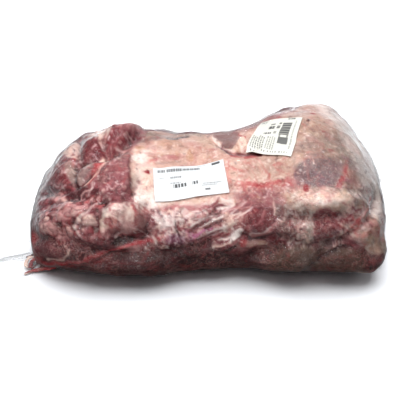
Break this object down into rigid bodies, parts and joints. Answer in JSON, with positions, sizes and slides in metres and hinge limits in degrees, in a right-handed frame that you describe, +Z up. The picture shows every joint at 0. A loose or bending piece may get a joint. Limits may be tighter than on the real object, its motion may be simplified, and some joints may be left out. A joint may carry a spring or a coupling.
{
  "type": "raw boneless veal shoulder in a vacuum bag",
  "caption": "Raw boneless veal shoulder sealed in a clear vacuum bag, lying flat, with paper labels on its top.",
  "frame": {"origin": "on the table below the middle of the whole pack", "axes": "+X along the shoulder towards its thick blade end, -Y towards the long side that the labels face, +Z up"},
  "size_m": [0.4686, 0.2536, 0.1335],
  "materials": {
    "meat_in_film": "clear glossy film drawn tight over raw veal: red-mauve muscle, cream-pink fat and membrane",
    "white_paper": "smooth white thermal label paper with grey and black print",
    "cream_paper": "smooth off-white thermal label paper with black print"
  },
  "bodies": {
    "root": {"vacuum_bag": "meat_in_film", "weight_label": "white_paper", "trace_label": "cream_paper"}
  },
  "joints": []
}
